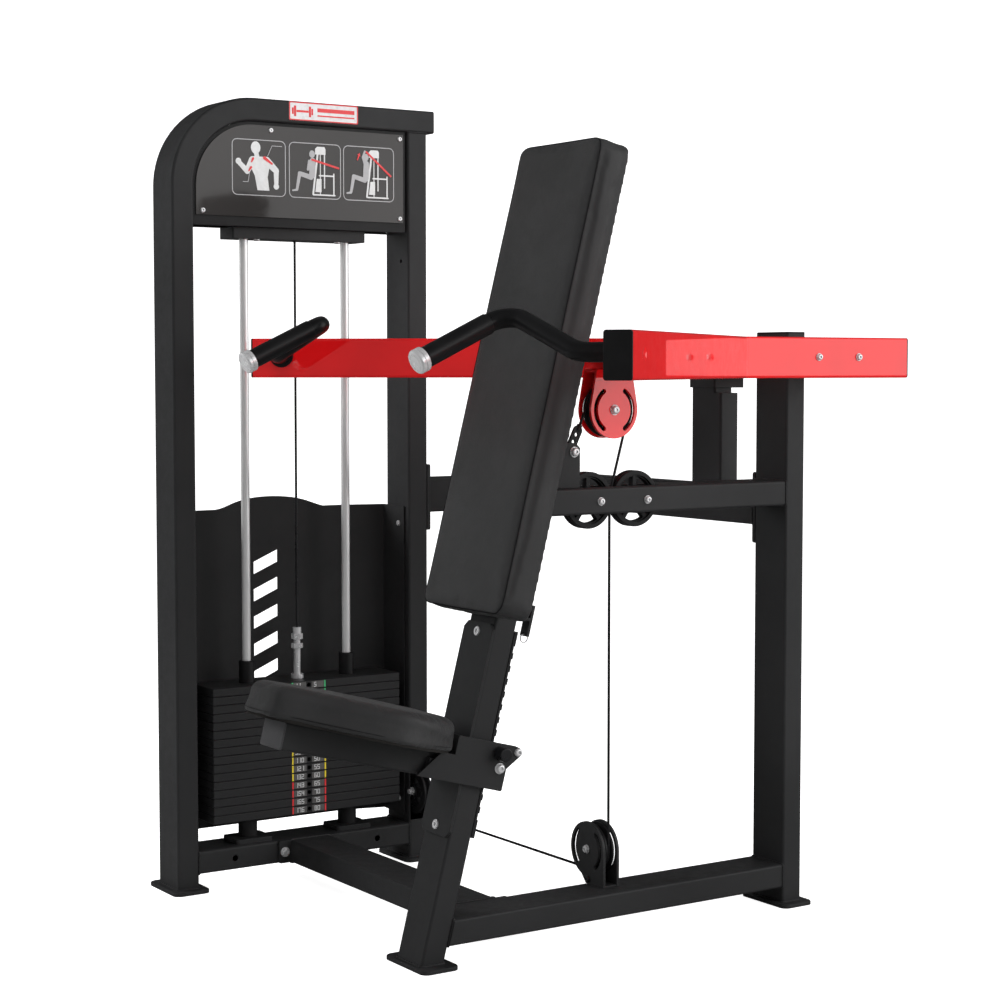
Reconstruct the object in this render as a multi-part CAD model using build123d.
from build123d import *
import os
import math

# Plate-stack shoulder press machine: one welded frame with a swinging press arm.
# Millimetres. Origin on the floor under the seat post, +Z up, +X to the seated
# user's left, +Y backwards (the user faces -Y). X = 0 is the centre plane of the
# seat, main base beam and press arm; the weight tower stands on the -X side.
# In names, 0 and 1 are the low and high limits, H is a half size, R a radius.

LEFT, RIGHT = (1, 0, 0), (-1, 0, 0)
BACK, FRONT = (0, 1, 0), (0, -1, 0)
UP, DOWN = (0, 0, 1), (0, 0, -1)
DIAG = math.sqrt(0.5)

# ---------------------------------------------------------------- driving dimensions
WALL = 3.0                 # wall of every frame tube
TUBE_R = 5.0               # outside corner radius of the frame tubes
TUBE_D = 50.0              # depth of the tower tubes in the YZ plane
FOOT_T = 8.0               # foot plates
FLANGE_T = 8.0             # bolted flanges between frame parts

# weight tower
TOWER_X0, TOWER_X1 = -842.0, -742.0    # far and near faces
TOWER_X = 0.5 * (TOWER_X0 + TOWER_X1)
FRONT_Y0, FRONT_Y1 = -131.5, -81.5     # front upright
REAR_Y0, REAR_Y1 = 450.0, 500.0        # rear upright
TOP_Z = 1717.5
TOP_UNDER = TOP_Z - TUBE_D             # underside of the top beam
TOP_END_Y = 520.0                      # rear end of the top beam, cap included
BEND_R = 195.0                         # outside radius of the top front bend
BEND_Y, BEND_Z = FRONT_Y0 + BEND_R, TOP_Z - BEND_R
BASE_Z0, BASE_Z1 = 37.5, 87.5          # tower base beam

# low frame
CROSS_Y0, CROSS_Y1 = 136.0, 236.0      # cross beam between tower and main base beam
CROSS_Z0, CROSS_Z1 = 38.0, 88.0
MAIN_HX = 50.0                         # main base beam, rear post and mid beam
MAIN_Z0, MAIN_Z1 = 39.5, 89.5
RPOST_Y0, RPOST_Y1 = 892.0, 942.0      # rear post
RPOST_TOP = 1210.0
MID_Z0, MID_Z1 = 848.0, 900.0          # beam between seat post and rear post
LINK_Z0, LINK_Z1 = 802.0, 882.0        # link beam between tower and rear post
SHORT_X0, SHORT_X1 = -266.0, -187.0    # short post under the far end of the pivot shaft
SHORT_TOP = 1092.0
SHORT_CAP = 20.0                       # thickness of its top plate
SHORT_WIDE_X1, SHORT_WIDE_Z1 = -166.0, 1081.0  # limits of its wider lower part
CROSS_BOLT_Y = (123.0, 249.0)
CROSS_BOLT_Z = 63.0
LINK_BOLT_X = (TOWER_X - 28, TOWER_X + 28)
LINK_BOLT_Z = (779.0, 898.0)

# seat post (leans back): local axes X, n (backwards, square to the post), s (up along it)
LEAN = math.atan(0.2601)
LEAN_PLANE = Plane(origin=(0, 0, 0), x_dir=LEFT, z_dir=(0, math.sin(LEAN), math.cos(LEAN)))
POST_HX = 45.0
POST_D = 50.0
POST_TOP = 1180.0

# press arm
PIVOT_Y, PIVOT_Z = 917.0, 1157.0       # pivot axis, parallel to X
ARM_PULLEY_Y, ARM_PULLEY_Z = 467.0, 1052.0
SHAFT_R = 12.5

# pulleys and cable; a line radius is that of the cable's centre line
CABLE_R = 2.75
CABLE_Y = 471.5                        # plane of the low cable run
AXLE_R = 6.0
AXLE_HOLE_R = AXLE_R + 0.02
SPACER_R = 9.5
WHEEL_W = 22.0
WHEEL_SIDE = WHEEL_W / 2 + 0.25        # from a wheel's middle to its spacers
SMALL_LINE_R, SMALL_R = 46.0, 52.5     # low and top pulleys
BIG_LINE_R, BIG_R = 57.25, 56.6        # the two idlers
ARM_LINE_R, ARM_R = 51.0, 54.0         # arm pulley
IDLER_Y = (CABLE_Y - BIG_LINE_R, CABLE_Y + BIG_LINE_R)
IDLER_Z = 873.5
LOW_Z = 160.0                          # axle height of the two low pulleys
HIGH_Z = 1560.0                        # axle height of the two top pulleys

# weight stack
STACK_Y = 186.5
STACK_HY, STACK_HX = 234.5, 55.0
PLATES = 16
LIFTED = 5                             # plates carried by the selector pin
PLATE_PITCH = 18.6
PLATE_T = 18.0
STACK_Z0 = 143.0
STACK_Z1 = STACK_Z0 + (PLATES - 1) * PLATE_PITCH + PLATE_T
ROD_R = 9.5
ROD_Y = (60.5, 312.5)
STEM_R = 7.5

BASE_PULLEY_X = -SMALL_LINE_R
TOWER_PULLEY_X = TOWER_X + SMALL_LINE_R
TOP_FRONT_Y = STACK_Y + SMALL_LINE_R   # top pulley axles
TOP_REAR_Y = CABLE_Y - SMALL_LINE_R


# ---------------------------------------------------------------- helpers
def group(*shapes):
    """Gather all solids into one compound without fusing them."""
    return Compound(children=[solid for shape in shapes for solid in shape.solids()])


def pair(*shapes):
    """The shapes and their mirror images across the centre plane."""
    return group(*shapes, *[mirror(shape, Plane.YZ) for shape in shapes])


def fuse(shapes):
    result = shapes[0]
    for shape in shapes[1:]:
        result = result + shape
    return result


def place(shape, point, direction):
    """Move a shape so that its origin is at point and its Z runs along direction."""
    return Plane(origin=point, z_dir=direction).location * shape


def leaned(shape):
    return LEAN_PLANE.location * shape


def block(x0, x1, y0, y1, z0, z1):
    return Pos((x0 + x1) / 2, (y0 + y1) / 2, (z0 + z1) / 2) * Box(x1 - x0, y1 - y0, z1 - z0)


def bar(x0, x1, y0, y1, z0, z1, axis, corner=TUBE_R):
    """Block with the edges along axis rounded."""
    return fillet(block(x0, x1, y0, y1, z0, z1).edges().filter_by(axis), corner)


def shrink(limits, axis, side, end):
    """Move the side faces of a block in by side and its ends along axis by end."""
    x0, x1, y0, y1, z0, z1 = limits
    x, y, z = (end if axis == other else side for other in (Axis.X, Axis.Y, Axis.Z))
    return x0 + x, x1 - x, y0 + y, y1 - y, z0 + z, z1 - z


def tube(x0, x1, y0, y1, z0, z1, axis):
    """Rectangular hollow section with rounded corners, open at both ends."""
    limits = (x0, x1, y0, y1, z0, z1)
    inner = bar(*shrink(limits, axis, WALL, -5.0), axis, TUBE_R - WALL)
    return bar(*limits, axis) - inner


def cyl(start, direction, radius, length):
    return place(Pos(0, 0, length / 2) * Cylinder(radius, length), start, direction)


def ring(start, direction, outer_r, inner_r, length):
    wall = Cylinder(outer_r, length) - Cylinder(inner_r, length + 2)
    return place(Pos(0, 0, length / 2) * wall, start, direction)


def polygon(points):
    return make_face(Polyline(*points, close=True))


def lines(*points):
    return [Line(a, b) for a, b in zip(points, points[1:])]


def yz_slab(face, x, thickness):
    """Stand a flat face up in the YZ plane and thicken it towards +X from x."""
    return Pos(x, 0, 0) * extrude(Plane.YZ * face, amount=thickness, dir=LEFT)


def round_sweep(edges, radius):
    """Sweep a circle along joined edges."""
    profile = place(Circle(radius), edges[0] @ 0, edges[0] % 0)
    return sweep(profile, path=Wire(edges))


def dome_bolt(point, direction, r=9.0, h=6.5, shank=0.0, shank_r=4.0, washer=True):
    """Low domed socket head seated at point, head along direction, shank the other way."""
    washer_t = 1.5 if washer else 0.0
    bolt = Pos(0, 0, washer_t + h / 2) * Cylinder(r, h)
    bolt = fillet(bolt.edges().group_by(Axis.Z)[-1], min(h * 0.62, r * 0.6))
    bolt = bolt - Pos(0, 0, washer_t + h) * extrude(RegularPolygon(r * 0.42, 6), amount=-2.6)
    if washer:
        bolt = Pos(0, 0, washer_t / 2) * Cylinder(r * 1.16, washer_t) + bolt
    if shank > 0:
        bolt = bolt + Pos(0, 0, 0.5 - shank / 2) * Cylinder(shank_r, shank + 1.0)
    return place(bolt, point, direction)


def hex_nut(point, direction, corner_r, h):
    nut = extrude(RegularPolygon(corner_r, 6), amount=h)
    nut = chamfer(nut.edges().group_by(Axis.Z)[-1], 0.8)
    return place(nut, point, direction)


def plug_skirt(limits, axis):
    """Hollow skirt of an end plug, fitted inside a tube with these outer limits."""
    limits = shrink(limits, axis, WALL + 0.3, 0.0)
    return bar(*limits, axis, 2.5) - block(*shrink(limits, axis, 3.0, -1.0))


def end_plug(x0, x1, y0, y1, z0, z1, axis):
    """Push-in plug for the upper (Z) or rear (Y) end of a tube; the limits are its lip's."""
    lip = bar(x0, x1, y0, y1, z0, z1, axis)
    lip = fillet(lip.faces().sort_by(axis)[-1].edges(), 1.4)
    depth = 16.0
    if axis == Axis.Y:
        y0, y1 = y0 - depth, y0
    else:
        z0, z1 = z0 - depth, z0
    return lip + plug_skirt((x0, x1, y0, y1, z0, z1), axis)


def arc_slot(x, y, radius, angle0, angle1):
    """Flat curved slot, 10 wide with round ends, about (x, y); angles in degrees."""
    half_w = 5.0
    middle = (angle0 + angle1) / 2

    def polar(r, angle):
        angle = math.radians(angle)
        return (x + r * math.cos(angle), y + r * math.sin(angle))

    outer = [polar(radius + half_w, a) for a in (angle0, middle, angle1)]
    inner = [polar(radius - half_w, a) for a in (angle1, middle, angle0)]
    slot = make_face([
        ThreePointArc(*outer),
        Line(outer[-1], inner[0]),
        ThreePointArc(*inner),
        Line(inner[-1], outer[0]),
    ])
    for angle in (angle0, angle1):
        slot = slot + Pos(*polar(radius, angle), 0) * Circle(half_w)
    return slot


# ---------------------------------------------------------------- tower
HANGER_T = 5.0             # plates that hang the top pulleys
HANGER_GAP = 14.0          # from the wheel's middle to their inner faces
HANGER_OUT = HANGER_GAP + HANGER_T
WINDOW_Z0, WINDOW_Y1 = 1441.0, 446.5   # sheet cover under the top beam
WINDOW_GAP = 0.6
COVER_T = 2.0
ROD_BRACKET_Z = 1416.0
GUARD_X = TOWER_X0 - 36.0
GUARD_Z0, GUARD_SHOULDER_Z = 106.0, 819.5


def bend(radius):
    """Start, middle and end (Y, Z) of an arc about the centre of the top front bend."""
    return [
        (BEND_Y - radius, BEND_Z),
        (BEND_Y - radius * DIAG, BEND_Z + radius * DIAG),
        (BEND_Y, BEND_Z + radius),
    ]


def hoop_face(inset):
    """Front upright, bend and top beam as one loop, offset inwards by inset."""
    run_out = 6.0 if inset else 0.0    # the hollow runs out through both ends
    y_end = TOP_END_Y - 3.0 + run_out
    z_low = FOOT_T - run_out
    outer = bend(BEND_R - inset)
    inner = bend(BEND_R - TUBE_D + inset)[::-1]
    return make_face([
        ThreePointArc(*outer),
        *lines(outer[2], (y_end, TOP_Z - inset), (y_end, TOP_UNDER + inset), inner[0]),
        ThreePointArc(*inner),
        *lines(inner[2], (FRONT_Y1 - inset, z_low), (FRONT_Y0 + inset, z_low), outer[0]),
    ])


def top_pulley_hangers():
    parts = []
    for x in (TOWER_X - HANGER_OUT, TOWER_X + HANGER_GAP):
        # axle position, reach forwards and backwards
        for y, ahead, behind in ((TOP_FRONT_Y, 34, 34), (TOP_REAR_Y, 34, 22)):
            plate = block(x, x + HANGER_T, y - ahead, y + behind, HIGH_Z, TOP_UNDER)
            plate = plate + cyl((x, y, HIGH_Z), LEFT, 22, HANGER_T)
            plate = plate - cyl((x - 3, y, HIGH_Z), LEFT, AXLE_R + 0.3, 12)
            parts.append(plate)
        parts.append(block(x, x + HANGER_T, TOP_FRONT_Y, TOP_REAR_Y, TOP_UNDER - 26, TOP_UNDER))
    parts.append(block(TOWER_X - HANGER_OUT, TOWER_X + HANGER_OUT,
                       TOP_FRONT_Y - 34, TOP_REAR_Y + 22, TOP_UNDER - 5, TOP_UNDER))
    return fuse(parts)


def tower_hoop():
    hoop = yz_slab(hoop_face(0), TOWER_X0, TOWER_X1 - TOWER_X0)

    def is_long_edge(edge):
        c = edge.center()
        on_side = abs(c.X - TOWER_X0) < 0.01 or abs(c.X - TOWER_X1) < 0.01
        return on_side and c.Z > FOOT_T + 0.1 and c.Y < TOP_END_Y - 3.1

    hoop = fillet([edge for edge in hoop.edges() if is_long_edge(edge)], TUBE_R)
    hoop = hoop - yz_slab(hoop_face(WALL), TOWER_X0 + WALL, TOWER_X1 - TOWER_X0 - 2 * WALL)
    return hoop + top_pulley_hangers()


def tower_rear_upright():
    post = tube(TOWER_X0, TOWER_X1, REAR_Y0, REAR_Y1, FOOT_T, TOP_UNDER, Axis.Z)
    # pulley slot low in the near face, and a slot in the front face behind the top pulley
    post = post - block(TOWER_X1 - 8, TOWER_X1 + 5, REAR_Y0 + 2.6, REAR_Y1 - 8.5,
                        LOW_Z - 66, LOW_Z + 66)
    post = post - block(TOWER_X - 15, TOWER_X + 15, REAR_Y0 - 5, REAR_Y0 + 6,
                        HIGH_Z - 60, HIGH_Z + 62)
    # axle holes through front and rear walls, then room for the spacers between them
    axle_x = TOWER_X1 - 4.0
    for y in (REAR_Y0 - 2, REAR_Y1 - WALL - 2):
        post = post - cyl((axle_x, y, LOW_Z), BACK, AXLE_HOLE_R, 8)
    post = post - cyl((axle_x, REAR_Y0 + WALL, LOW_Z), BACK, 9.7, REAR_Y1 - REAR_Y0 - 2 * WALL)
    # small hole high on the front face
    return post - cyl((TOWER_X + 18, REAR_Y0 - 5, 1378), BACK, 4.5, 12)


def tower_base_beam():
    beam = tube(TOWER_X0, TOWER_X1, FRONT_Y1, REAR_Y0, BASE_Z0, BASE_Z1, Axis.Y)
    for y in (5.0, 364.0):
        beam = beam - cyl((TOWER_X1 - 8, y, 62.5), LEFT, 7.0, 16)
    for y in ROD_Y:      # plinths that carry the guide rods
        beam = beam + bar(TOWER_X - 36, TOWER_X + 36, y - 45, y + 45,
                          BASE_Z1, BASE_Z1 + 10, Axis.Z, 8)
        beam = beam - cyl((TOWER_X, y, BASE_Z1 - 6), UP, ROD_R + 0.5, 20)
    return beam


def foot_plates():
    feet = []
    for x0, x1, y0, y1 in (
        (TOWER_X0 - 22, TOWER_X1 + 22, FRONT_Y0 - 16, FRONT_Y1 + 18),
        (TOWER_X0 - 22, TOWER_X1 + 22, REAR_Y0 - 18, REAR_Y1 + 18),
        (-75, 75, -10, 72),
        (-73, 73, RPOST_Y0 - 14, RPOST_Y1 + 17),
    ):
        foot = bar(x0, x1, y0, y1, 0, FOOT_T, Axis.Z, 16)
        feet.append(chamfer(foot.edges().group_by(Axis.Z)[-1], 1.5))
    return group(*feet)


def window_face(inset=0.0, z0=WINDOW_Z0):
    """Window under the top beam and its bend, offset inwards by inset."""
    arc = bend(BEND_R - TUBE_D - WINDOW_GAP - inset)
    y0, y1 = FRONT_Y1 + WINDOW_GAP + inset, WINDOW_Y1 - inset
    top = TOP_UNDER - WINDOW_GAP - inset
    return make_face([
        Line((y0, z0 + inset), arc[0]),
        ThreePointArc(*arc),
        *lines(arc[2], (y1, top), (y1, z0 + inset), (y0, z0 + inset)),
    ])


def cover_panels():
    """Folded sheets: the near one returns along its bottom and rear, the far one below."""
    y0, bottom = FRONT_Y1 + WINDOW_GAP, WINDOW_Z0 + COVER_T
    x0, x1 = TOWER_X + 24, TOWER_X1 - 7.0
    near = yz_slab(window_face(), x1 - COVER_T, COVER_T)
    near = near + block(x0, x1, y0, WINDOW_Y1, WINDOW_Z0, bottom)
    near = near + block(x0, x1, WINDOW_Y1 - COVER_T, WINDOW_Y1, WINDOW_Z0, TOP_UNDER - WINDOW_GAP)
    far = yz_slab(window_face(), TOWER_X0 + 7.0, COVER_T)
    far = far + block(TOWER_X0 + 7.0, TOWER_X - 24, y0, WINDOW_Y1, WINDOW_Z0, bottom)
    return group(near, far)


def instruction_placard():
    return yz_slab(window_face(7.0, z0=1455.0), TOWER_X1 - 7.0, 3.5)


def rod_top_bracket():
    """Open-topped tray that holds the upper ends of the guide rods."""
    z0 = ROD_BRACKET_Z
    tray = block(TOWER_X - 40, TOWER_X + 26, 22, 352, z0, 1440.9)
    tray = fillet(tray.edges().filter_by(Axis.Z), 4)
    tray = tray - block(TOWER_X - 37, TOWER_X + 23, 25, 349, z0 + 3, 1445)
    for y in ROD_Y:
        tray = tray - cyl((TOWER_X, y, z0 - 6), UP, ROD_R + 0.2, 20)
        tray = tray + ring((TOWER_X, y, z0 + 3), UP, 15, ROD_R + 0.2, 20)
    return tray - cyl((TOWER_X, STACK_Y, z0 - 6), UP, 9.0, 20)


def guide_rods():
    rods = [cyl((TOWER_X, y, BASE_Z1 - 3.0), UP, ROD_R, 1438.0 - BASE_Z1) for y in ROD_Y]
    return group(*[chamfer(rod.edges().group_by(Axis.Z)[-1], 1.2) for rod in rods])


def stack_bumpers():
    rings = [ring((TOWER_X, y, BASE_Z1 + 10.2), UP, 21, ROD_R + 0.6, STACK_Z0 - BASE_Z1 - 10.6)
             for y in ROD_Y]
    return group(*[fillet(r.edges().group_by(Axis.Z)[-1], 2.0) for r in rings])


def stack_guard():
    """Folded sheet on the far side of the stack, with an arched top and slanted slots."""
    # plan points (X, Y); the inner face runs out past the open near side
    outer = [
        (TOWER_X1 - 16, FRONT_Y1 + 0.2), (TOWER_X0 - 6, FRONT_Y1 + 0.2), (GUARD_X, -34.0),
        (GUARD_X, 352.0), (TOWER_X0 - 10, REAR_Y0 - 2.2), (TOWER_X1 - 16, REAR_Y0 - 2.2),
    ]
    inner = [
        (TOWER_X1 + 14, FRONT_Y1 + 2.2), (TOWER_X0 - 5, FRONT_Y1 + 2.2), (GUARD_X + 2.0, -33.2),
        (GUARD_X + 2.0, 351.2), (TOWER_X0 - 9, REAR_Y0 - 4.2), (TOWER_X1 + 14, REAR_Y0 - 4.2),
    ]
    sheet = extrude(polygon(outer), amount=760) - extrude(polygon(inner), amount=760)
    guard = Pos(0, 0, GUARD_Z0) * sheet
    # everything above the arched upper edge, as (Y, Z)
    top = GUARD_SHOULDER_Z
    above = make_face([
        Line((-140, top), (28, top)),
        Spline((28, top), (70, 832), (175, 845.5), (255, 834), (300, top),
               tangents=((1, 0.1), (1, -0.25))),
        *lines((300, top), (520, top), (520, 900), (-140, 900), (-140, top)),
    ])
    guard = guard - yz_slab(above, GUARD_X - 20, 200)
    for k in range(6):
        z = 700.0 - 62.0 * k
        slot = polygon([(122, z - 30), (182, z - 4), (182, z + 24), (122, z - 2)])
        guard = guard - yz_slab(slot, GUARD_X - 10, 30)
    return guard


# ---------------------------------------------------------------- weight stack
def weight_plates(first, last):
    plates = []
    for i in range(first, last):
        z0 = STACK_Z0 + i * PLATE_PITCH
        plate = block(TOWER_X - STACK_HX, TOWER_X + STACK_HX,
                      STACK_Y - STACK_HY, STACK_Y + STACK_HY, z0, z0 + PLATE_T)
        plate = chamfer(plate.edges(), 1.2)
        for y in ROD_Y:
            plate = plate - cyl((TOWER_X, y, z0 - 2), UP, ROD_R + 2.0, PLATE_T + 4)
        plate = plate - cyl((TOWER_X, STACK_Y, z0 - 2), UP, STEM_R + 1.5, PLATE_T + 4)
        # selector pin hole, open to the near side
        plate = plate - cyl((TOWER_X - 20, STACK_Y, z0 + PLATE_T / 2), LEFT, 5.0, STACK_HX + 24)
        plates.append(plate)
    return group(*plates)


def lower_weight_plates():
    return weight_plates(0, PLATES - LIFTED)


def lifted_weight_plates():
    return weight_plates(PLATES - LIFTED, PLATES)


def guide_bushings():
    rings = [ring((TOWER_X, y, STACK_Z1 + 0.02), UP, 17.0, ROD_R + 0.06, 49.0) for y in ROD_Y]
    return group(*[chamfer(r.edges().group_by(Axis.Z)[-1], 1.5) for r in rings])


def selector_stem():
    """Drilled bar through the stack, with a collar and two nuts above it."""
    z0 = STACK_Z0 + 3.0
    stem = cyl((TOWER_X, STACK_Y, z0), UP, STEM_R, 548.0 - z0)
    stem = chamfer(stem.edges().group_by(Axis.Z)[0], 1.5)
    stem = stem + ring((TOWER_X, STACK_Y, STACK_Z1 + 0.02), UP, 14, STEM_R - 0.5, 10)
    stem = stem + hex_nut((TOWER_X, STACK_Y, 508), UP, 13.0, 11)
    stem = stem + hex_nut((TOWER_X, STACK_Y, 528), UP, 13.0, 13)
    stem = stem + cyl((TOWER_X, STACK_Y, 541), UP, 9.5, 14)
    for i in range(PLATES):
        z = STACK_Z0 + i * PLATE_PITCH + PLATE_T / 2
        stem = stem - cyl((TOWER_X - 20, STACK_Y, z), LEFT, 4.3, 40)
    return stem


def selector_pin():
    z = STACK_Z0 + (PLATES - LIFTED) * PLATE_PITCH + PLATE_T / 2
    pin = cyl((TOWER_X - 14, STACK_Y, z), LEFT, 4.0, STACK_HX + 14 + 8)
    pin = pin + cyl((TOWER_X1 + 5.2, STACK_Y, z), LEFT, 7.0, 7.0)
    knob = cyl((TOWER_X1 + 12.0, STACK_Y, z), LEFT, 12.5, 26)
    return pin + fillet(knob.edges(), 4.0)


# ---------------------------------------------------------------- low frame
ANCHOR_Y, ANCHOR_Z = 372.0, 970.5      # bolt that anchors the cable to the seat post
PILLOW_X = -226.0
PILLOW_Z = SHORT_TOP + SHORT_CAP


def ahead_of_post():
    """Everything in front of the seat post's back face, for cutting beams to it."""
    return leaned(block(-200, 200, -900, POST_D, -200, 1400))


def cross_beam():
    beam = tube(TOWER_X1 + FLANGE_T, -MAIN_HX - FLANGE_T, CROSS_Y0, CROSS_Y1,
                CROSS_Z0, CROSS_Z1, Axis.X)
    for x in (TOWER_X1, -MAIN_HX - FLANGE_T):
        flange = bar(x, x + FLANGE_T, 109.0, 263.0, CROSS_Z0, CROSS_Z1, Axis.X, 4)
        for y in CROSS_BOLT_Y:
            flange = flange - cyl((x - 2, y, CROSS_BOLT_Z), LEFT, 5.3, 14)
        beam = beam + flange
    return beam


def main_base_beam():
    beam = tube(-MAIN_HX, MAIN_HX, -60, RPOST_Y0, MAIN_Z0, MAIN_Z1, Axis.Y)
    return beam - ahead_of_post()


def rear_post():
    """Post with the hub of the pivot shaft welded through it."""
    post = tube(-MAIN_HX, MAIN_HX, RPOST_Y0, RPOST_Y1, FOOT_T, RPOST_TOP - 4.0, Axis.Z)
    post = post - cyl((-80, PIVOT_Y, PIVOT_Z), LEFT, SHAFT_R + 7.0, 160)
    # start in X, outside radius, length
    for x, radius, length in ((-MAIN_HX, SHAFT_R + 7.0, 2 * MAIN_HX),
                              (-MAIN_HX - 6, SHAFT_R + 9.0, 6),
                              (MAIN_HX, SHAFT_R + 9.0, 6)):
        post = post + ring((x, PIVOT_Y, PIVOT_Z), LEFT, radius, SHAFT_R, length)
    return post


def seat_post():
    post = leaned(tube(-POST_HX, POST_HX, 0, POST_D, -60, POST_TOP, Axis.Z))
    post = post - block(-300, 300, -300, 300, -200, FOOT_T)
    # clevis plates for the cable anchor, on the back of the post
    gusset = polygon([(240, MID_Z1), (386, MID_Z1), (386, 978), (376, 988), (240, 988)])
    for x in (-18.5, 12.5):
        plate = yz_slab(gusset, x, 6.0)
        plate = plate - cyl((x - 2, ANCHOR_Y, ANCHOR_Z), LEFT, 5.2, 10)
        post = post + (plate - ahead_of_post())
    return post


def mid_beam():
    """Beam with a vertical slot for the two idlers."""
    beam = tube(-MAIN_HX, MAIN_HX, 150, RPOST_Y0, MID_Z0, MID_Z1, Axis.Y) - ahead_of_post()
    beam = beam - bar(-15, 15, IDLER_Y[0] - 62, IDLER_Y[1] + 62,
                      MID_Z0 - 10, MID_Z1 + 10, Axis.Z, 8)
    for y in IDLER_Y:
        beam = beam - cyl((-80, y, IDLER_Z), LEFT, AXLE_HOLE_R, 160)
    return beam


def link_beam():
    """From the tower's rear upright backwards, then across to the rear post."""
    x0, x1, end_x = TOWER_X - 25, TOWER_X + 25, -MAIN_HX - FLANGE_T
    back_leg = tube(x0, x1, REAR_Y1 + FLANGE_T, RPOST_Y1, LINK_Z0, LINK_Z1, Axis.Y)
    side_leg = tube(x0, end_x, RPOST_Y0, RPOST_Y1, LINK_Z0, LINK_Z1, Axis.X)
    # open each leg into the other at the corner
    back_leg = back_leg - block(TOWER_X - 60, TOWER_X + 60, RPOST_Y0 + 3, RPOST_Y1 - 3,
                                LINK_Z0 + 3, LINK_Z1 - 3)
    side_leg = side_leg - block(TOWER_X - 60, TOWER_X + 22, RPOST_Y0 - 30, RPOST_Y1 - 3,
                                LINK_Z0 + 3, LINK_Z1 - 3)
    z0, z1 = 763, 914
    tower_flange = bar(TOWER_X0, TOWER_X1, REAR_Y1, REAR_Y1 + FLANGE_T, z0, z1, Axis.Y, 5)
    post_flange = bar(end_x, -MAIN_HX, RPOST_Y0, RPOST_Y1, z0, z1, Axis.X, 5)
    for z in LINK_BOLT_Z:
        for x in LINK_BOLT_X:
            tower_flange = tower_flange - cyl((x, REAR_Y1 - 2, z), BACK, 5.3, 14)
        post_flange = post_flange - cyl((-MAIN_HX - 12, PIVOT_Y, z), LEFT, 5.3, 16)
    return back_leg + side_leg + tower_flange + post_flange


def short_post():
    """Stepped post on the link beam, with a top plate for the pillow block."""
    x0, wide_x, wide_z = SHORT_X0, SHORT_WIDE_X1, SHORT_WIDE_Z1
    post = tube(x0, wide_x, RPOST_Y0, RPOST_Y1, LINK_Z1, wide_z, Axis.Z)
    post = post + bar(x0, wide_x, RPOST_Y0, RPOST_Y1, wide_z - 3, wide_z, Axis.Z)
    post = post + tube(x0, SHORT_X1, RPOST_Y0, RPOST_Y1, wide_z - 1, SHORT_TOP, Axis.Z)
    return post + bar(x0 - 4, SHORT_X1 + 4, RPOST_Y0 - 4, RPOST_Y1 + 30,
                      SHORT_TOP, PILLOW_Z, Axis.Z, 4)


def pivot_shaft():
    shaft = cyl((-262, PIVOT_Y, PIVOT_Z), LEFT, SHAFT_R, 262 + 128)
    return chamfer(shaft.edges().filter_by(GeomType.CIRCLE), 1.0)


def pillow_block():
    x, y = PILLOW_X, PIVOT_Y
    body = block(x - 17, x + 17, y - 25, y + 55, PILLOW_Z, PILLOW_Z + 10)
    body = body + block(x - 15, x + 15, y - 25, y + 25, PILLOW_Z + 5, PIVOT_Z)
    body = body + cyl((x - 17, y, PIVOT_Z), LEFT, 32, 34)
    return body - cyl((x - 30, y, PIVOT_Z), LEFT, SHAFT_R, 60)


def frame_end_caps():
    return group(
        end_plug(TOWER_X0, TOWER_X1, TOP_END_Y - 3, TOP_END_Y, TOP_UNDER, TOP_Z, Axis.Y),
        end_plug(-MAIN_HX, MAIN_HX, RPOST_Y0, RPOST_Y1, RPOST_TOP - 4, RPOST_TOP, Axis.Z),
        leaned(end_plug(-POST_HX, POST_HX, 0, POST_D, POST_TOP, POST_TOP + 3, Axis.Z)),
    )


# ---------------------------------------------------------------- pulleys, brackets and axles
BRACKET_T = 6.0            # side plates of the base pulley bracket and the arm fork
BASE_GAP = 14.0            # from the wheel's middle to the base bracket's inner faces
ARM_GAP = 16.0             # the same at the arm fork

# centre, axle direction, wheel radius, line radius
PULLEYS = {
    "front_idler_pulley": ((0, IDLER_Y[0], IDLER_Z), LEFT, BIG_R, BIG_LINE_R),
    "rear_idler_pulley": ((0, IDLER_Y[1], IDLER_Z), LEFT, BIG_R, BIG_LINE_R),
    "base_pulley": ((BASE_PULLEY_X, CABLE_Y, LOW_Z), BACK, SMALL_R, SMALL_LINE_R),
    "tower_pulley": ((TOWER_PULLEY_X, CABLE_Y, LOW_Z), BACK, SMALL_R, SMALL_LINE_R),
    "top_rear_pulley": ((TOWER_X, TOP_REAR_Y, HIGH_Z), LEFT, SMALL_R, SMALL_LINE_R),
    "top_front_pulley": ((TOWER_X, TOP_FRONT_Y, HIGH_Z), LEFT, SMALL_R, SMALL_LINE_R),
    "arm_pulley": ((0, ARM_PULLEY_Y, ARM_PULLEY_Z), LEFT, ARM_R, ARM_LINE_R),
}


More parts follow.
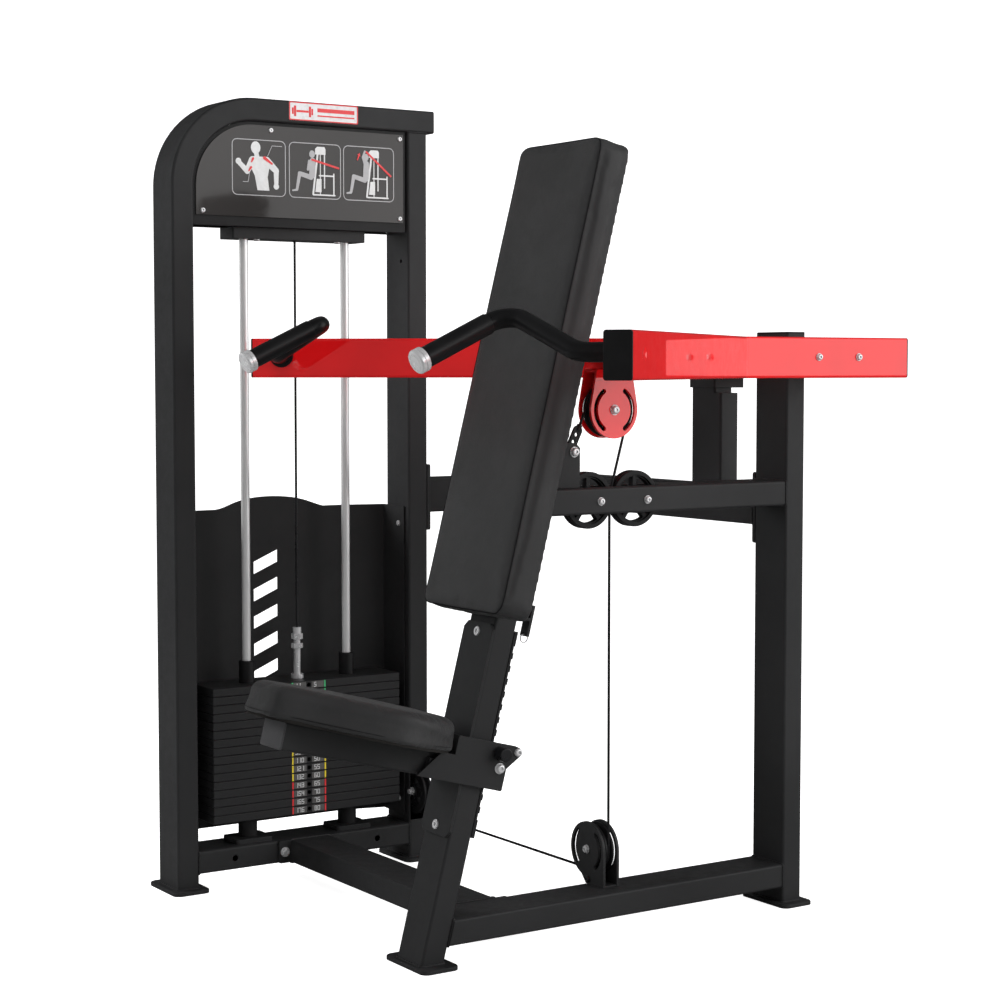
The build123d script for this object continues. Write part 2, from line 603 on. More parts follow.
def pulley(center, direction, wheel_r, line_r):
    """Grooved wheel with a five-spoked web and a plain bore; built with its axle along Z."""
    groove_r = CABLE_R + 0.35
    bottom_r = line_r - groove_r - 0.05
    half_w = WHEEL_W / 2
    wheel = Cylinder(wheel_r, WHEEL_W)
    wheel = fillet(wheel.edges(), 2.0)
    if line_r < wheel_r:     # V groove that ends in a round bottom
        mouth_r, mouth = wheel_r + 4, half_w - 3.0
        neck_r, neck = line_r, groove_r * 0.98
    else:                    # shallow groove with square sides
        mouth_r, mouth = wheel_r + 3, groove_r
        neck_r, neck = line_r - 1.0, groove_r
    groove = make_face([
        Line((mouth_r, mouth), (neck_r, neck)),
        ThreePointArc((neck_r, neck), (bottom_r, 0), (neck_r, -neck)),
        *lines((neck_r, -neck), (mouth_r, -mouth), (mouth_r, mouth)),
    ])
    wheel = wheel - revolve(Plane.XZ * groove, Axis.Z)
    # web: both sides dished, then windows between the spokes
    hub_r, rim_r = 17.0, bottom_r - 6.5
    dish = Pos(0, 0, half_w - 0.5) * (Cylinder(rim_r, 7.0) - Cylinder(hub_r, 8.0))
    wheel = wheel - dish - mirror(dish, Plane.XY)
    windows = Cylinder(rim_r - 3.0, WHEEL_W + 4) - Cylinder(hub_r + 3.0, WHEEL_W + 6)
    spoke = Pos(rim_r / 2, 0, 0) * Box(rim_r + 10, 9.0, WHEEL_W + 8)
    for k in range(5):
        windows = windows - Rot(0, 0, 72.0 * k) * spoke
    wheel = wheel - windows
    wheel = wheel - Cylinder(AXLE_R + 0.05, WHEEL_W + 10)
    return place(wheel, center, direction)


def axle(center, direction, half_gap, half_out, head_r=9.0):
    """Bolt with spacers either side of a wheel, a head along direction and a nut opposite.

    half_gap and half_out run from the wheel's middle to the bracket's inner and outer faces.
    """
    center = Vector(*center)
    along = Vector(*direction)
    bolt = cyl(center - along * half_out, direction, AXLE_R, 2 * half_out)
    for start in (-half_gap, WHEEL_SIDE):
        bolt = bolt + cyl(center + along * start, direction, SPACER_R, half_gap - WHEEL_SIDE)
    bolt = bolt + dome_bolt(center + along * half_out, direction, r=head_r, h=head_r * 0.75)
    washer = cyl(center - along * half_out, -along, 12.0, 1.5)
    return bolt + washer + hex_nut(center - along * (half_out + 1.5), -along, 10.5, 9)


def tower_pulley_axle():
    """Axle carried by the front and rear walls of the rear upright."""
    x, y0, y1 = TOWER_PULLEY_X, REAR_Y0 + WALL, CABLE_Y + WHEEL_SIDE
    bolt = cyl((x, REAR_Y0, LOW_Z), BACK, AXLE_R, REAR_Y1 - REAR_Y0)
    bolt = bolt + cyl((x, y0, LOW_Z), BACK, SPACER_R, CABLE_Y - WHEEL_SIDE - y0)
    bolt = bolt + cyl((x, y1, LOW_Z), BACK, SPACER_R, REAR_Y1 - WALL - y1)
    return bolt + dome_bolt((x, REAR_Y1, LOW_Z), BACK, r=9.0, h=7.0)


def pulley_axles():
    base = (BASE_PULLEY_X, CABLE_Y, LOW_Z)
    return group(
        *[axle((0, y, IDLER_Z), LEFT, MAIN_HX - WALL, MAIN_HX, head_r=7.0) for y in IDLER_Y],
        axle(base, FRONT, BASE_GAP, BASE_GAP + BRACKET_T, head_r=7.6),
        tower_pulley_axle(),
        *[axle((TOWER_X, y, HIGH_Z), LEFT, HANGER_GAP, HANGER_OUT)
          for y in (TOP_FRONT_Y, TOP_REAR_Y)],
    )


def base_pulley_bracket():
    """Two slotted plates on a sole, with a spacer screw across them."""
    x, z = BASE_PULLEY_X, LOW_Z
    profile = Pos(x, z, 0) * Circle(56)
    profile = profile + polygon([(x - 54.2, z - 12), (-50, MAIN_Z1), (10, MAIN_Z1), (10, z)])
    profile = profile - arc_slot(x, z, 44, -48, 48) - arc_slot(x, z, 44, 132, 222)
    profile = profile - Pos(x, z, 0) * Circle(AXLE_HOLE_R)
    plate = extrude(profile, amount=BRACKET_T)
    bracket = block(-50, 9, CABLE_Y - 19, CABLE_Y + 19, MAIN_Z1, MAIN_Z1 + 4)
    # the plate is drawn flat; standing it up makes it reach forwards from y
    for y in (CABLE_Y - BASE_GAP, CABLE_Y + BASE_GAP + BRACKET_T):
        bracket = bracket + Location((0, y, 0), (90, 0, 0)) * plate
    screw_x, screw_z = x + 4, 99.5
    bracket = bracket - cyl((screw_x, CABLE_Y - 30, screw_z), BACK, 4.02, 60)
    head = (screw_x, CABLE_Y - 20, screw_z)
    screw = cyl(head, BACK, 4.0, 40)
    screw = screw + dome_bolt(head, FRONT, r=6.6, h=5.0, washer=False)
    screw = screw + hex_nut((screw_x, CABLE_Y + 20, screw_z), BACK, 7.0, 6)
    return group(bracket, screw)


# ---------------------------------------------------------------- cable
STACK_CABLE_Z0 = 555.2                 # lower end of the run to the selector stem
CABLE_END = Vector(0, 399.0, 1024.0)   # where the cable meets the anchor strap


def around(y, z, radius, angle):
    """Point in the centre plane at an angle (radians, from +Y towards +Z) about (y, z)."""
    return Vector(0, y + radius * math.cos(angle), z + radius * math.sin(angle))


def on_arm_pulley(angle):
    return around(ARM_PULLEY_Y, ARM_PULLEY_Z, ARM_LINE_R, angle)


def on_rear_idler(angle):
    return around(IDLER_Y[1], IDLER_Z, BIG_LINE_R, angle)


# crossed tangent between the rear idler and the arm pulley
_dy, _dz = ARM_PULLEY_Y - IDLER_Y[1], ARM_PULLEY_Z - IDLER_Z
REAR_RUN_ANGLE = math.atan2(_dz, _dy) - math.asin((BIG_LINE_R + ARM_LINE_R) / math.hypot(_dy, _dz))
IDLER_ANGLE = REAR_RUN_ANGLE + math.pi / 2
ARM_REAR_ANGLE = REAR_RUN_ANGLE - math.pi / 2
# tangent from the cable's end to the front of the arm pulley
_dy, _dz = CABLE_END.Y - ARM_PULLEY_Y, CABLE_END.Z - ARM_PULLEY_Z
ARM_FRONT_ANGLE = math.atan2(_dz, _dy) - math.acos(ARM_LINE_R / math.hypot(_dy, _dz))


def cable_fixed_run():
    """Down between the idlers, across under the low pulleys, up the tower and forwards."""
    y, r, d = CABLE_Y, SMALL_LINE_R, SMALL_LINE_R * DIAG
    low, high = LOW_Z - r, HIGH_Z + r
    start = on_rear_idler(IDLER_ANGLE)
    # each leg goes on from the last: one point is straight, two are an arc's middle and end
    legs = [
        (on_rear_idler((IDLER_ANGLE + math.pi) / 2), (0, y, IDLER_Z)),
        ((0, y, LOW_Z),),
        ((BASE_PULLEY_X + d, y, LOW_Z - d), (BASE_PULLEY_X, y, low)),
        ((TOWER_PULLEY_X, y, low),),
        ((TOWER_PULLEY_X - d, y, LOW_Z - d), (TOWER_X, y, LOW_Z)),
        ((TOWER_X, y, HIGH_Z),),
        ((TOWER_X, TOP_REAR_Y + d, HIGH_Z + d), (TOWER_X, TOP_REAR_Y, high)),
        ((TOWER_X, TOP_FRONT_Y, high),),
        ((TOWER_X, TOP_FRONT_Y - d, HIGH_Z + d), (TOWER_X, STACK_Y, HIGH_Z)),
    ]
    edges = []
    for leg in legs:
        edges.append(Line(start, *leg) if len(leg) == 1 else ThreePointArc(start, *leg))
        start = leg[-1]
    return round_sweep(edges, CABLE_R)


def cable_stack_run():
    length = HIGH_Z - 0.2 - STACK_CABLE_Z0
    return cyl((TOWER_X, STACK_Y, STACK_CABLE_Z0), UP, CABLE_R, length)


def cable_rear_run():
    """From the rear idler up to the back of the arm pulley."""
    start = on_rear_idler(IDLER_ANGLE)
    run = on_arm_pulley(ARM_REAR_ANGLE) - start
    along = run.normalized()
    return cyl(start + along * 0.5, along, CABLE_R, run.length - 0.8)


def cable_front_run():
    """From the anchor strap up to the front of the arm pulley."""
    run = on_arm_pulley(ARM_FRONT_ANGLE) - CABLE_END
    return cyl(CABLE_END, run.normalized(), CABLE_R, run.length - 0.2)


def cable_arm_wrap():
    """Over the top of the arm pulley, from front to back."""
    start, end = ARM_FRONT_ANGLE, ARM_REAR_ANGLE - 2 * math.pi
    angles = (start, (start + end) / 2, end)
    return round_sweep([ThreePointArc(*[on_arm_pulley(a) for a in angles])], CABLE_R)


def cable_anchor_strap():
    """Perforated strap between the post's clevis and the cable end, with a ferrule."""
    anchor = Vector(0, ANCHOR_Y, ANCHOR_Z)
    along = (CABLE_END - anchor).normalized()
    reach = (CABLE_END - anchor).length
    strap_l = reach - 14
    strap = Pos(strap_l / 2, 0, 0) * Rectangle(strap_l, 20) + Circle(10)
    strap = strap + Pos(strap_l, 0, 0) * Circle(10)
    strap = strap - Circle(5.2)
    for share in (0.36, 0.62):
        strap = strap - Pos(reach * share, 0, 0) * Circle(4.2)
    plane = Plane(origin=(-2.5, ANCHOR_Y, ANCHOR_Z), x_dir=along, z_dir=LEFT)
    strap = plane.location * extrude(strap, amount=5.0)
    return strap + cyl(CABLE_END - along * 13.5, along, 5.5, 12.0)


# ---------------------------------------------------------------- press arm
ARM_H, ARM_W = 82.5, 50.0
ARM_Z = 1155.75                        # middle height of the arm tubes
ARM_X1 = 180.0                         # outer and inner faces of the straight rear tubes
ARM_X0 = ARM_X1 - ARM_W
ARM_TUBE_END_Y = 1110.0 - 3.0          # rear end without its cap
SPLAY = Vector(0.6, -0.8, 0)           # the front tubes run forwards and outwards
INWARD = Vector(-0.8, -0.6, 0)         # square to them, towards the centre plane
OUTER_END = Vector(666.0, 27.0, 0)     # front corners of the left tube in plan
INNER_END = OUTER_END + INWARD * ARM_W
BEARING_PITCH = 54.0                   # from the shaft to a flange bearing's screw
BEARING_SCREW_Y = (PIVOT_Y - BEARING_PITCH, PIVOT_Y + BEARING_PITCH)
BEARING_FLANGE_T = 12.0


def arm_outline(inset=0.0, extend=0.0):
    """Plan points of the left side, offset inwards by inset, ends run out by extend."""
    outer = OUTER_END + INWARD * inset
    inner = INNER_END - INWARD * inset
    x_out, x_in = ARM_X1 - inset, ARM_X0 + inset
    y_end = ARM_TUBE_END_Y + extend

    def joint_y(corner, x):
        return corner.Y - SPLAY.Y * (corner.X - x) / SPLAY.X

    return [
        (x_out, y_end),
        (x_out, joint_y(outer, x_out)),
        outer + SPLAY * extend,
        inner + SPLAY * extend,
        (x_in, joint_y(inner, x_in)),
        (x_in, y_end),
    ]


def prism(points, z0, height):
    return Pos(0, 0, z0) * extrude(polygon(points), amount=height)


def arm_side():
    """Left side of the arm: straight rear tube and splayed front tube, open at the ends."""
    z0 = ARM_Z - ARM_H / 2
    outer = prism(arm_outline(), z0, ARM_H)
    rounded = []
    for edge in outer.edges():
        c = edge.center()
        horizontal = abs(c.Z - z0) < 0.01 or abs(c.Z - (z0 + ARM_H)) < 0.01
        at_end = c.Y > ARM_TUBE_END_Y - 0.1 or (edge.length < ARM_W + 0.5 and c.Y < 30)
        if horizontal and not at_end:
            rounded.append(edge)
    outer = fillet(rounded, 5.0)
    return outer - prism(arm_outline(WALL, 8), z0 + WALL, ARM_H - 2 * WALL)


def arm_cross_tube():
    """Tube between the two sides, over the arm pulley, trimmed to their inner faces."""
    cross = tube(-330, 330, ARM_PULLEY_Y - 25, ARM_PULLEY_Y + 25,
                 PIVOT_Z - 26, PIVOT_Z + 24, Axis.X)
    side = prism(arm_outline(), PIVOT_Z - 60, 120)
    cross = cross - side - mirror(side, Plane.YZ)
    x, y = INNER_END.X, INNER_END.Y
    joint_y = arm_outline()[4][1]
    between = [(x, y), (ARM_X0, joint_y), (-ARM_X0, joint_y), (-x, y)]
    return cross & prism(between, PIVOT_Z - 60, 120)


def fork_profile():
    """Slotted cheek of the arm pulley's fork, as (Y, Z)."""
    y, z, radius = ARM_PULLEY_Y, ARM_PULLEY_Z, 57
    top = PIVOT_Z - 25.0
    dy, dz = radius * math.cos(math.radians(12)), radius * math.sin(math.radians(12))
    cheek = Pos(y, z, 0) * Circle(radius)
    cheek = cheek + polygon([(y - dy, z + dz), (y - 43, top), (y + 43, top), (y + dy, z + dz)])
    cheek = cheek - arc_slot(y, z, 45, -55, 55) - arc_slot(y, z, 45, 125, 235)
    return cheek - Pos(y, z, 0) * Circle(AXLE_HOLE_R)


def press_arm():
    left = arm_side()
    arm = left + mirror(left, Plane.YZ) + arm_cross_tube()
    fork_out = ARM_GAP + BRACKET_T
    for x in (-fork_out, ARM_GAP):
        arm = arm + yz_slab(fork_profile(), x, BRACKET_T)
    arm = arm + block(-fork_out, fork_out, ARM_PULLEY_Y - 43, ARM_PULLEY_Y + 43,
                      PIVOT_Z - 31, PIVOT_Z - 26)
    # shallow pressed dimple on the outer face, opposite the root of each handle
    root = OUTER_END - SPLAY * 68.0 + Vector(0, 0, 1158.0)
    dimple = place(Pos(0, 0, 40.0) * Sphere(42.0), root, -INWARD)
    arm = arm - dimple - mirror(dimple, Plane.YZ)
    # start, radius and length of the shaft opening: right side through, left side inner wall
    for side, start, radius, length in ((-1, -ARM_X1 - 5, SHAFT_R + 8.0, 80),
                                        (1, ARM_X0 - 15, 20.0, 40)):
        for y in BEARING_SCREW_Y:
            arm = arm - cyl((side * 155 - 40, y, PIVOT_Z), LEFT, 4.6, 80)
        arm = arm - cyl((start, PIVOT_Y, PIVOT_Z), LEFT, radius, length)
    return arm


def pivot_bearings():
    """Two-bolt flange bearings on the inner faces of the rear tubes."""
    pitch, waist_r, t = BEARING_PITCH, 31.4, BEARING_FLANGE_T
    bearings = []
    for side in (-1, 1):
        body = Circle(33)
        for end in (-1, 1):
            body = body + Pos(end * pitch, 0) * Circle(14)
        body = body + polygon([
            (-pitch, 14), (-10, waist_r), (10, waist_r), (pitch, 14),
            (pitch, -14), (10, -waist_r), (-10, -waist_r), (-pitch, -14),
        ])
        bearing = extrude(body, amount=t)
        bearing = bearing + Pos(0, 0, t + 7) * Cylinder(27, 14)
        bearing = bearing - Cylinder(SHAFT_R + 0.05, 120)
        for end in (-1, 1):
            bearing = bearing - Pos(end * pitch, 0, 6) * Cylinder(5.4, 40)
        seat = Plane(origin=(side * ARM_X0, PIVOT_Y, PIVOT_Z), x_dir=BACK, z_dir=(-side, 0, 0))
        bearings.append(seat.location * bearing)
    return group(*bearings)


def arm_bolts():
    """Screws through the rear tubes into the bearing flanges, and the arm pulley's axle."""
    bolts = []
    for side in (-1, 1):
        for y in BEARING_SCREW_Y:
            bolt = dome_bolt((side * ARM_X1, y, PIVOT_Z), (side, 0, 0), r=6.6, h=4.8,
                             shank=ARM_W + 13.0, shank_r=4.2)
            nut_x = side * (ARM_X0 - BEARING_FLANGE_T)
            bolts.append(bolt + hex_nut((nut_x, y, PIVOT_Z), (-side, 0, 0), 9.8, 8))
    bolts.append(axle((0, ARM_PULLEY_Y, ARM_PULLEY_Z), LEFT, ARM_GAP, ARM_GAP + BRACKET_T))
    return group(*bolts)


def arm_cap(plane, lip_t, edge_r):
    """Lip over the tube end at the plane, with a hollow skirt inside."""
    lip = Pos(0, 0, lip_t / 2) * Box(ARM_W, ARM_H, lip_t)
    lip = fillet(lip.edges().filter_by(Axis.Z), 5)
    lip = fillet(lip.faces().sort_by(Axis.Z)[-1].edges(), edge_r)
    skirt = Box(ARM_W - 7, ARM_H - 7, 16) - Box(ARM_W - 13, ARM_H - 13, 20)
    return plane.location * (lip + Pos(0, 0, -8) * skirt)


def arm_end_caps():
    middle = (OUTER_END + INNER_END) * 0.5 + Vector(0, 0, ARM_Z)
    front = Plane(origin=middle, x_dir=-INWARD, z_dir=SPLAY)
    rear = Plane(origin=((ARM_X0 + ARM_X1) / 2, ARM_TUBE_END_Y, ARM_Z), x_dir=LEFT, z_dir=BACK)
    return pair(arm_cap(front, 3.5, 1.5), arm_cap(rear, 3.0, 1.3))


# handles: root on the splayed tube, first corner, second corner, free end
HANDLE_ROOT = INNER_END - SPLAY * 61.7 + Vector(0, 0, 1161.0)
HANDLE_PATH = [
    HANDLE_ROOT,
    HANDLE_ROOT + INWARD * 62,
    Vector(322.0, 16.0, 1232.0),
    Vector(322.0, -158.0, 1151.0),
]
HANDLE_BENDS = (52.0, 42.0)
HANDLE_R, HANDLE_BORE_R = 17.0, 13.0
GRIP_R = 18.8
GRIP_DIR = (HANDLE_PATH[3] - HANDLE_PATH[2]).normalized()


def corner_geometry(before, corner, after, radius):
    """Unit vectors from a corner to its neighbours, half its angle, its tangent length."""
    to_before = (before - corner).normalized()
    to_after = (after - corner).normalized()
    half = math.acos(to_before.dot(to_after)) / 2
    return to_before, to_after, half, radius / math.tan(half)


def rounded_path(points, radii):
    """Straight runs joined by tangent arcs at the inner points."""
    edges = []
    start = points[0]
    for before, corner, after, radius in zip(points, points[1:], points[2:], radii):
        to_before, to_after, half, tangent = corner_geometry(before, corner, after, radius)
        arc_start = corner + to_before * tangent
        arc_end = corner + to_after * tangent
        bisector = (to_before + to_after).normalized()
        middle = corner + bisector * (radius / math.sin(half) - radius)
        edges.append(Line(start, arc_start))
        edges.append(ThreePointArc(arc_start, middle, arc_end))
        start = arc_end
    edges.append(Line(start, points[-1]))
    return edges


def press_handles():
    """Bent pipe on a round flange."""
    path = rounded_path(HANDLE_PATH, HANDLE_BENDS)
    pipe = round_sweep(path, HANDLE_R) - round_sweep(path, HANDLE_BORE_R)
    flange = cyl(HANDLE_ROOT, INWARD, 25, 6)
    flange = flange - cyl(HANDLE_ROOT - INWARD * 2, INWARD, 12.9, 12)
    rims = flange.edges().filter_by(GeomType.CIRCLE).group_by(SortBy.LENGTH)[-1]
    return pair(pipe + fillet(rims, 1.2))


def handle_grips():
    """Sleeve over the straight hand section."""
    tangent = corner_geometry(*HANDLE_PATH[1:], HANDLE_BENDS[1])[3]
    start = HANDLE_PATH[2] + GRIP_DIR * (tangent + 1.0)
    length = (HANDLE_PATH[3] - start).length
    grip = cyl(start, GRIP_DIR, GRIP_R, length - 0.4)
    grip = grip - cyl(start - GRIP_DIR * 2, GRIP_DIR, HANDLE_R + 0.02, length + 6)
    rims = grip.edges().filter_by(GeomType.CIRCLE).group_by(SortBy.LENGTH)[-1]
    return pair(fillet(rims[0:1], 1.5))


def grip_end_caps():
    """Turned caps with a groove round the side and a ring cut in the end face."""
    cap = Pos(0, 0, 9) * Cylinder(22.0, 18)
    cap = fillet(cap.edges().group_by(Axis.Z)[-1], 4.0)
    cap = fillet(cap.edges().group_by(Axis.Z)[0], 1.5)
    cap = cap - Pos(0, 0, 9.0) * (Cylinder(24, 2.0) - Cylinder(21.0, 3.0))
    cap = cap - Pos(0, 0, 18) * (Cylinder(15.0, 1.2) - Cylinder(13.6, 2.0))
    cap = cap + Pos(0, 0, -12) * Cylinder(12.8, 24)
    return pair(place(cap, HANDLE_PATH[3], GRIP_DIR))


# ------------------------------------------------ seat, in the leaning frame (X, n, s)
# Here FRONT and BACK run along n and UP runs along s.
BEAM_HX = 40.0
BEAM_S0, BEAM_S1 = 362.0, 414.0    # seat beam
BEAM_N0 = -394.5                   # its front end, cap included
PAD_S0, PAD_S1 = 416.0, 477.0      # seat pad
CHEEK_X0, CHEEK_X1 = 51.5, 57.5    # carriage side plates
LATCH_N, LATCH_S = 71.5, 402.0     # latch pivot
PIN_N, PIN_S = 63.0, 430.0         # latch pin, shown drawn clear of the rack
PIN_R = 5.0
SEATED_N, SEATED_S = 60.2, 428.99  # latch pin seated in a notch
REAR_BOLT_N, REAR_BOLT_S = 106.0, 438.5
RACK_N = 57.5
NOTCH_N = 55.0                     # floor of the notches
NOTCH_PITCH = 25.0
GLIDE_BOLT_S = (273.5, 650.0)

# side plate of the carriage (n, s)
CHEEK_OUTLINE = [
    (-108, 361), (87.5, 359.5), (87.5, 403), (114.5, 433), (114.5, 441),
    (108.5, 447.5), (98, 449.5), (-34, 449.5), (-34, 412.5), (-65, 412.5),
]
# left half of the seat pad from nose to back: x, n, then how far x moves in and
# n moves back for each unit of inset
SEAT_OUTLINE = [
    (0, -446, 0, 1), (40, -444, 0, 1), (66, -428, 0.8, 0.7), (98, -360, 0.95, 0),
    (148, -276, 1, 0), (171, -206, 1, 0), (150, -138, 1, 0), (104, -74, 1, -0.35),
    (70, -47, 0.8, -0.8), (35, -41, 0, -1), (0, -40, 0, -1),
]


def seat_rack():
    """Notched strip on the back of the post."""
    rack = block(-44, 44, POST_D, RACK_N, 262, 664)
    for k in range(-5, 9):
        s = SEATED_S + NOTCH_PITCH * k
        rack = rack - block(-60, 60, NOTCH_N, RACK_N + 5, s - 6.5, s + 6.5)
    return leaned(rack)


def seat_glide_strip():
    """Strip on the front of the post."""
    strip = block(-50, 50, -6, 0, 255, 668)
    strip = chamfer(strip.edges().filter_by(Axis.Y), 12.0)
    for s in GLIDE_BOLT_S:
        strip = strip - cyl((0, -10, s), BACK, 5.2, 14)
    return leaned(strip)


def cheek_face():
    cheek = polygon(CHEEK_OUTLINE)
    cheek = fillet(cheek.vertices().filter_by(
        lambda v: (v.Y < 362 and v.X > 80) or (v.Y > 449 and v.X < -20)), 4)
    # clearance slot for the latch pin between its two positions
    middle = ((PIN_N + SEATED_N) / 2, (PIN_S + SEATED_S) / 2)
    angle = math.degrees(math.atan2(PIN_S - SEATED_S, PIN_N - SEATED_N))
    travel = math.hypot(PIN_S - SEATED_S, PIN_N - SEATED_N)
    slot = Pos(*middle, 0) * (Rot(0, 0, angle) * Rectangle(travel + 1.0, 2 * PIN_R + 1.6))
    for point in ((PIN_N, PIN_S), (SEATED_N, SEATED_S), middle):
        slot = slot + Pos(*point, 0) * Circle(PIN_R + 0.8)
    cheek = cheek - slot - Pos(LATCH_N, LATCH_S, 0) * Circle(6.0)
    return cheek - Pos(REAR_BOLT_N, REAR_BOLT_S, 0) * Circle(5.0)


def seat_carriage():
    carriage = tube(-BEAM_HX, BEAM_HX, BEAM_N0 + 3.0, -18, BEAM_S0, BEAM_S1, Axis.Y)
    carriage = carriage + block(-CHEEK_X0, CHEEK_X0, -18, -12, 366, 449)
    # start of the side plate, and of the filler between it and the beam
    for cheek_x, filler_x in ((-CHEEK_X1, -CHEEK_X0), (CHEEK_X0, BEAM_HX)):
        carriage = carriage + yz_slab(cheek_face(), cheek_x, CHEEK_X1 - CHEEK_X0)
        filler_x1 = filler_x + CHEEK_X0 - BEAM_HX
        carriage = carriage + block(filler_x, filler_x1, -84, -18, 368, 398)
    return leaned(carriage)


def seat_prism(inset, s0, height):
    half = [(x - inset * kx, n + inset * kn) for x, n, kx, kn in SEAT_OUTLINE]
    loop = half + [(-x, n) for x, n in reversed(half[1:-1])]
    return Pos(0, 0, s0) * extrude(make_face(Spline(*loop, periodic=True)), amount=height)


def seat_pad():
    pad = seat_prism(0, PAD_S0, PAD_S1 - PAD_S0)
    pad = fillet(pad.edges().group_by(Axis.Z)[-1], 12.0)
    return leaned(pad - seat_prism(9.0, PAD_S0 - 2, 11.0))


def seat_board():
    return leaned(seat_prism(10.0, BEAM_S1, 10.5))


def seat_latch():
    """Cross pin with knobs outside the side plates, on two cheeks round the pivot bolt."""
    latch = cyl((-CHEEK_X1 - 27, PIN_N, PIN_S), LEFT, PIN_R, 2 * (CHEEK_X1 + 27))
    dn, ds = LATCH_N - PIN_N, LATCH_S - PIN_S
    arm_pose = (math.degrees(math.atan2(ds, dn)), 0, 0)
    for side in (-1, 1):
        knob = cyl((side * (CHEEK_X1 + 1.0), PIN_N, PIN_S), (side, 0, 0), 13.5, 26)
        latch = latch + fillet(knob.edges(), 2.0)
        x = side * 48.5 - 2.0
        cheek = cyl((x, PIN_N, PIN_S), LEFT, 9.0, 4) + cyl((x, LATCH_N, LATCH_S), LEFT, 11.0, 4)
        middle = (x + 2, (LATCH_N + PIN_N) / 2 + 1.5, (LATCH_S + PIN_S) / 2)
        latch = latch + cheek + Location(middle, arm_pose) * Box(4, math.hypot(dn, ds), 15)
    latch = latch + cyl((-48, LATCH_N, LATCH_S), LEFT, 9.0, 96)
    return leaned(latch - cyl((-70, LATCH_N, LATCH_S), LEFT, 5.05, 140))


def carriage_bolts():
    x, n, s = CHEEK_X1, LATCH_N, LATCH_S
    pivot = cyl((-x, n, s), LEFT, 5.0, 2 * x)
    pivot = pivot + dome_bolt((x, n, s), LEFT, r=9.0, h=7.0)
    pivot = pivot + cyl((-x, n, s), RIGHT, 11.5, 1.5) + hex_nut((-x - 1.5, n, s), RIGHT, 9.8, 8)
    n, s = REAR_BOLT_N, REAR_BOLT_S
    rear = cyl((-x, n, s), LEFT, 4.9, 2 * x) + cyl((-CHEEK_X0, n, s), LEFT, 8.0, 2 * CHEEK_X0)
    rear = rear + dome_bolt((x, n, s), LEFT, r=8.0, h=6.0, washer=False)
    rear = rear + hex_nut((-x, n, s), RIGHT, 9.0, 8)
    return group(leaned(pivot), leaned(rear))


def seat_beam_cap():
    tube_n0 = BEAM_N0 + 3
    cap = bar(-BEAM_HX, BEAM_HX, BEAM_N0, tube_n0, BEAM_S0, BEAM_S1, Axis.Y)
    cap = fillet(cap.faces().sort_by(Axis.Y)[0].edges(), 1.4)
    limits = (-BEAM_HX, BEAM_HX, tube_n0, tube_n0 + 15, BEAM_S0, BEAM_S1)
    return leaned(cap + plug_skirt(limits, Axis.Y))


# ---------------------------------------------------------------- back pad (leaning frame)
BACK_HX = 143.0
BACK_N0, BACK_N1 = -60.0, 14.0
BACK_S0, BACK_S1 = 679.0, 1617.0
CHANNEL_HX, CHANNEL_S1 = 48.5, 1190.0  # channel over the post


def post_channel(n0):
    return block(-CHANNEL_HX, CHANNEL_HX, n0, BACK_N1 + 5, BACK_S0 - 10, CHANNEL_S1)


def back_pad():
    pad = block(-BACK_HX, BACK_HX, BACK_N0, BACK_N1, BACK_S0, BACK_S1)
    pad = fillet(pad.edges().filter_by(Axis.Y), 20.0)
    pad = fillet(pad.faces().sort_by(Axis.Y)[0].edges(), 6.0)
    pad = pad - block(-BACK_HX + 10, BACK_HX - 10, -13.0, BACK_N1 + 5, BACK_S0 + 10, BACK_S1 - 10)
    return leaned(pad - post_channel(-0.6))


def back_board():
    """Board in front of the post, thicker either side of it."""
    board = block(-BACK_HX + 11, BACK_HX - 11, -12.0, BACK_N1 - 2.0, BACK_S0 + 11, BACK_S1 - 11)
    board = fillet(board.edges().filter_by(Axis.Y), 14.0)
    return leaned(board - post_channel(0.0))


def hook_bracket():
    """Small T bracket above the rack, behind the post."""
    hook = block(-12, 12, POST_D, 106.7, 690, 696) + block(-12, 12, 100.7, 106.7, 660, 722)
    hook = hook + block(-28, 28, POST_D, 56, 672, 696)
    hook = fillet(hook.edges().filter_by(Axis.X), 1.2)
    return leaned(hook - cyl((0, 95, 664.4), BACK, 2.6, 20))


def hook_ring():
    return leaned(Location((0, 103.7, 655.7), (0, 90, 0)) * Torus(8.2, 1.2))


# ---------------------------------------------------------------- fasteners of the frame
def anchor_bolt():
    """Bolt through the post's clevis, with spacers either side of the cable strap."""
    y, z, half = ANCHOR_Y, ANCHOR_Z, 18.5
    bolt = cyl((-half, y, z), LEFT, 5.1, 2 * half)
    for x in (-12.4, 2.6):
        bolt = bolt + cyl((x, y, z), LEFT, 9.0, 9.8)
    bolt = bolt + dome_bolt((half, y, z), LEFT, r=9.0, h=7.0)
    return bolt + cyl((-half, y, z), RIGHT, 11.5, 1.5) + hex_nut((-half - 1.5, y, z), RIGHT, 9.8, 8)


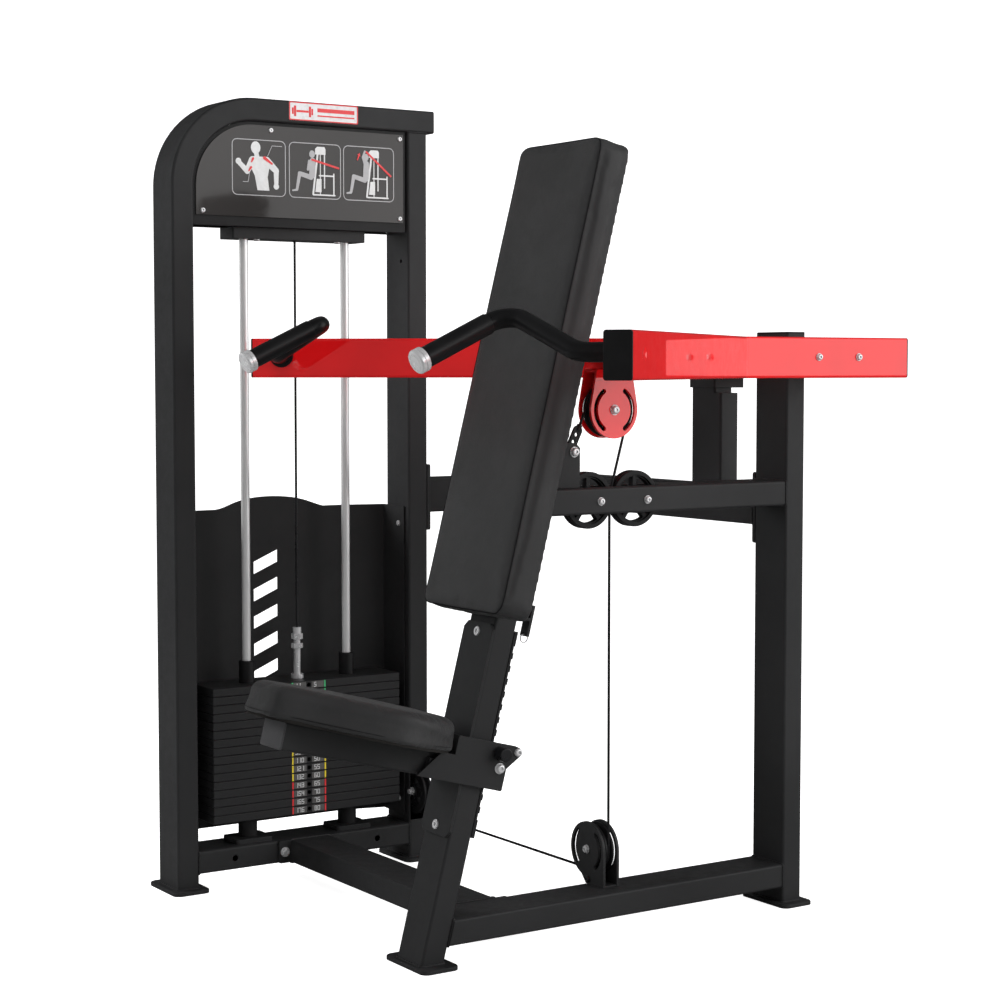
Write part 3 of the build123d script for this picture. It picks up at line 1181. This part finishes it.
def frame_fasteners():
    flange_bolt = dict(r=9.5, h=6.5, shank=FLANGE_T, shank_r=5.2)
    post_flange_x = -MAIN_HX - FLANGE_T
    bolts = []
    for y in CROSS_BOLT_Y:
        bolts.append(dome_bolt((TOWER_X1 + FLANGE_T, y, CROSS_BOLT_Z), LEFT, **flange_bolt))
        bolts.append(dome_bolt((post_flange_x, y, CROSS_BOLT_Z), RIGHT, **flange_bolt))
    for z in LINK_BOLT_Z:
        for x in LINK_BOLT_X:
            bolts.append(dome_bolt((x, REAR_Y1 + FLANGE_T, z), BACK, **flange_bolt))
        bolts.append(dome_bolt((post_flange_x, PIVOT_Y, z), RIGHT, **flange_bolt))
    for s in GLIDE_BOLT_S:
        bolts.append(leaned(dome_bolt((0, -6, s), FRONT, r=9.5, h=3.2, shank=6, shank_r=5.1,
                                      washer=False)))
    bolts.append(anchor_bolt())
    bolts.append(dome_bolt((PILLOW_X, PIVOT_Y + 44, PILLOW_Z + 10), UP, r=8.0, h=6.0))

    # placard corners, rod bracket, then the guard's rear and front flanges
    screws = [((TOWER_X1 - 3.5, y, z), LEFT, 5.5, 3.4)
              for y, z in ((-58.5, 1471.5), (430.0, 1471.5), (105.0, 1650.0), (430.0, 1650.0))]
    screws += [((TOWER_X + 13, y, ROD_BRACKET_Z), DOWN, 7.0, 4.5) for y in (86.0, 287.0)]
    for z in (779.0, 140.0):
        screws.append(((TOWER_X1 - 38, REAR_Y0 - 4.2, z), FRONT, 6.5, 4.0))
        screws.append(((TOWER_X1 - 38, FRONT_Y1 + 2.2, z), BACK, 6.5, 4.0))
    for point, direction, radius, height in screws:
        bolts.append(dome_bolt(point, direction, r=radius, h=height, washer=False))
    return group(*bolts)


# ---------------------------------------------------------------- output
# each piece is written under its function's name
PIECES = [
    tower_hoop, tower_rear_upright, tower_base_beam, foot_plates, cover_panels,
    instruction_placard, rod_top_bracket, guide_rods, stack_bumpers, stack_guard,
    lower_weight_plates, lifted_weight_plates, guide_bushings, selector_stem, selector_pin,
    cross_beam, main_base_beam, rear_post, seat_post, mid_beam, link_beam, short_post,
    pivot_shaft, pillow_block, frame_end_caps, pulley_axles, base_pulley_bracket,
    cable_fixed_run, cable_stack_run, cable_rear_run, cable_front_run, cable_arm_wrap,
    cable_anchor_strap, press_arm, pivot_bearings, arm_bolts, arm_end_caps, press_handles,
    handle_grips, grip_end_caps, seat_rack, seat_glide_strip, seat_carriage, seat_pad,
    seat_board, seat_latch, carriage_bolts, seat_beam_cap, back_pad, back_board,
    hook_bracket, hook_ring, frame_fasteners,
]

os.makedirs("parts", exist_ok=True)
for piece in PIECES:
    export_step(piece(), f"parts/{piece.__name__}.step")
for name, spec in PULLEYS.items():
    export_step(pulley(*spec), f"parts/{name}.step")
